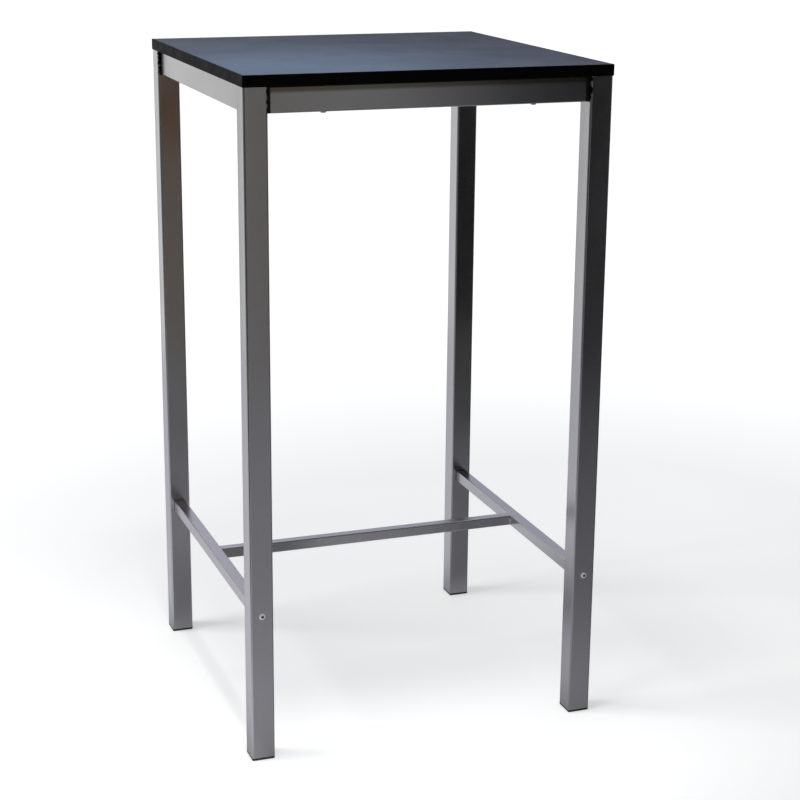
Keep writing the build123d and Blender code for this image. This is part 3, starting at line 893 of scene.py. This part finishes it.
# Cards stand round the table on a circle: start and end in degrees from the front towards the
# right, and their colour
CARD_CIRCLE = 2.4
CARD_FOOT = -0.1
CARD_TOP = 4.2
CARD_POINTS = 25
CARDS = (
    ("grey_card_right", 65.0, 130.0, (0.22, 0.22, 0.22)),
    ("dim_card_right", 46.0, 65.0, (0.12, 0.12, 0.12)),
    ("dark_card_front_right", 20.5, 46.0, (0.0, 0.0, 0.0)),
    ("dim_card_front_right", 17.5, 20.5, (0.17, 0.18, 0.20)),
    ("grey_card_front", 9.0, 17.5, (0.30, 0.30, 0.30)),
    ("warm_card_front", 3.0, 9.0, (0.23, 0.20, 0.17)),
    ("dark_card_front_left", -52.0, 3.0, (0.01, 0.01, 0.01)),
    ("dim_card_left", -95.0, -52.0, (0.14, 0.14, 0.14)),
    ("grey_card_left", -130.0, -95.0, (0.22, 0.22, 0.22)),
    ("pale_card_rear", 169.0, 186.0, (0.68, 0.67, 0.78)),
    ("white_card_rear", 186.0, 204.0, (0.92, 0.92, 0.92)),
    ("pale_card_rear_left", 204.0, 230.0, (0.56, 0.56, 0.56)),
)
for name, first, last, colour in CARDS:
    bearing = np.radians(np.linspace(first, last, CARD_POINTS))
    rim = CARD_CIRCLE * np.stack([np.sin(bearing), -np.cos(bearing)], axis=1)
    rows = [np.column_stack([rim, np.full(CARD_POINTS, z)]) for z in (CARD_FOOT, CARD_TOP)]
    card(name, np.concatenate(rows), colour)

# Small cards stand right in front of the legs, for the rear legs to mirror: left and right, foot
# and top in metres, and their colour
NEAR_CARD_PLANE = -0.33
NEAR_CARDS = (
    ("brown_card_near", -0.235, -0.02, 0.84, 1.00, (0.12, 0.05, 0.015)),
    ("warm_card_near", -0.235, -0.02, 0.40, 0.84, (0.17, 0.14, 0.11)),
    ("dim_card_near", -0.235, -0.02, 0.04, 0.40, (0.17, 0.17, 0.17)),
    ("dark_card_near_right", 0.36, 0.95, 0.40, 0.86, (0.0, 0.0, 0.0)),
    ("dim_card_near_right", 0.36, 0.95, 0.14, 0.40, (0.06, 0.06, 0.06)),
)
for name, left, right, foot, top, colour in NEAR_CARDS:
    card(name, [(x, NEAR_CARD_PLANE, z) for z in (foot, top) for x in (left, right)], colour)

# ---- Surround: pale blue fill for the lighting, white for the camera, grey where it is mirrored ----
SURROUND_FILL = {"Color": (0.95, 0.97, 1.0, 1.0), "Strength": 0.35}
SURROUND_SEEN = {"Color": (1.0, 1.0, 1.0, 1.0), "Strength": 1.0}
SURROUND_MIRRORED = {"Color": (0.95, 0.94, 1.13, 1.0), "Strength": 0.58}

world = bpy.data.worlds.new("studio_surround")
bpy.context.scene.world = world
world.use_nodes = True
tree = world.node_tree
tree.nodes.clear()
surround_output = tree.nodes.new("ShaderNodeOutputWorld")
path = tree.nodes.new("ShaderNodeLightPath").outputs
fill, seen, mirrored = [
    add_node(tree, "ShaderNodeBackground", light).outputs["Background"]
    for light in (SURROUND_FILL, SURROUND_SEEN, SURROUND_MIRRORED)
]
reflected = maths(tree, "MAXIMUM", path["Is Glossy Ray"], path["Is Transmission Ray"])
lit = add_node(tree, "ShaderNodeMixShader", {0: reflected, 1: fill, 2: mirrored}).outputs["Shader"]
choice = add_node(tree, "ShaderNodeMixShader", {0: path["Is Camera Ray"], 1: lit, 2: seen})
tree.links.new(choice.outputs["Shader"], surround_output.inputs["Surface"])


# ---- Lamps: place, point that they shine at, side, power and spread of the beam in degrees ----
LAMPS = (
    ("key_lamp", (-3.0, 0.6, 2.4), (0.0, 0.0, 0.6), 1.8, 70.0, 180.0),
    ("fill_lamp", (-0.9, -3.6, 0.9), (-0.2, 0.0, 0.3), 1.4, 5.0, 180.0),
    ("top_lamp", (-0.20, -0.30, 1.95), (-0.20, -0.22, 1.1), 0.4, 2.6, 56.0),
)


def soft_lamp(name, place, aim, side, power, spread):
    """Square soft lamp at a place, turned to shine at a point, its beam spread over an angle."""
    lamp = bpy.data.lights.new(name, "AREA")
    lamp.shape = "SQUARE"
    lamp.size = side
    lamp.energy = power
    lamp.spread = math.radians(spread)
    thing = bpy.data.objects.new(name, lamp)
    bpy.context.scene.collection.objects.link(thing)
    direction = np.asarray(aim, float) - np.asarray(place, float)
    direction /= np.linalg.norm(direction)
    turn = math.atan2(direction[1], direction[0]) - math.pi / 2
    thing.location = place
    thing.rotation_euler = (math.acos(-direction[2]), 0.0, turn)
    return thing


lamps = {name: soft_lamp(name, *values) for name, *values in LAMPS}
lamps["top_lamp"].visible_glossy = False

# ---- Camera ----
FOCAL_LENGTH_MM = 84.13
CAMERA_PLACE = (-1.0149, -2.9564, 1.4029)
CAMERA_BEARING = -0.3480
CAMERA_PITCH = 0.2812
CAMERA_ROLL = 0.0087

lens = bpy.data.cameras.new("studio_camera")
lens.lens = FOCAL_LENGTH_MM
camera = bpy.data.objects.new("studio_camera", lens)
bpy.context.scene.collection.objects.link(camera)
camera.location = CAMERA_PLACE
camera.rotation_mode = "QUATERNION"
aim = Euler((math.pi / 2 - CAMERA_PITCH, 0.0, CAMERA_BEARING), "XYZ").to_matrix()
camera.rotation_quaternion = (aim @ Matrix.Rotation(CAMERA_ROLL, 3, "Z")).to_quaternion()
bpy.context.scene.camera = camera

bpy.context.scene.view_settings.view_transform = "Standard"

low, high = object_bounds()
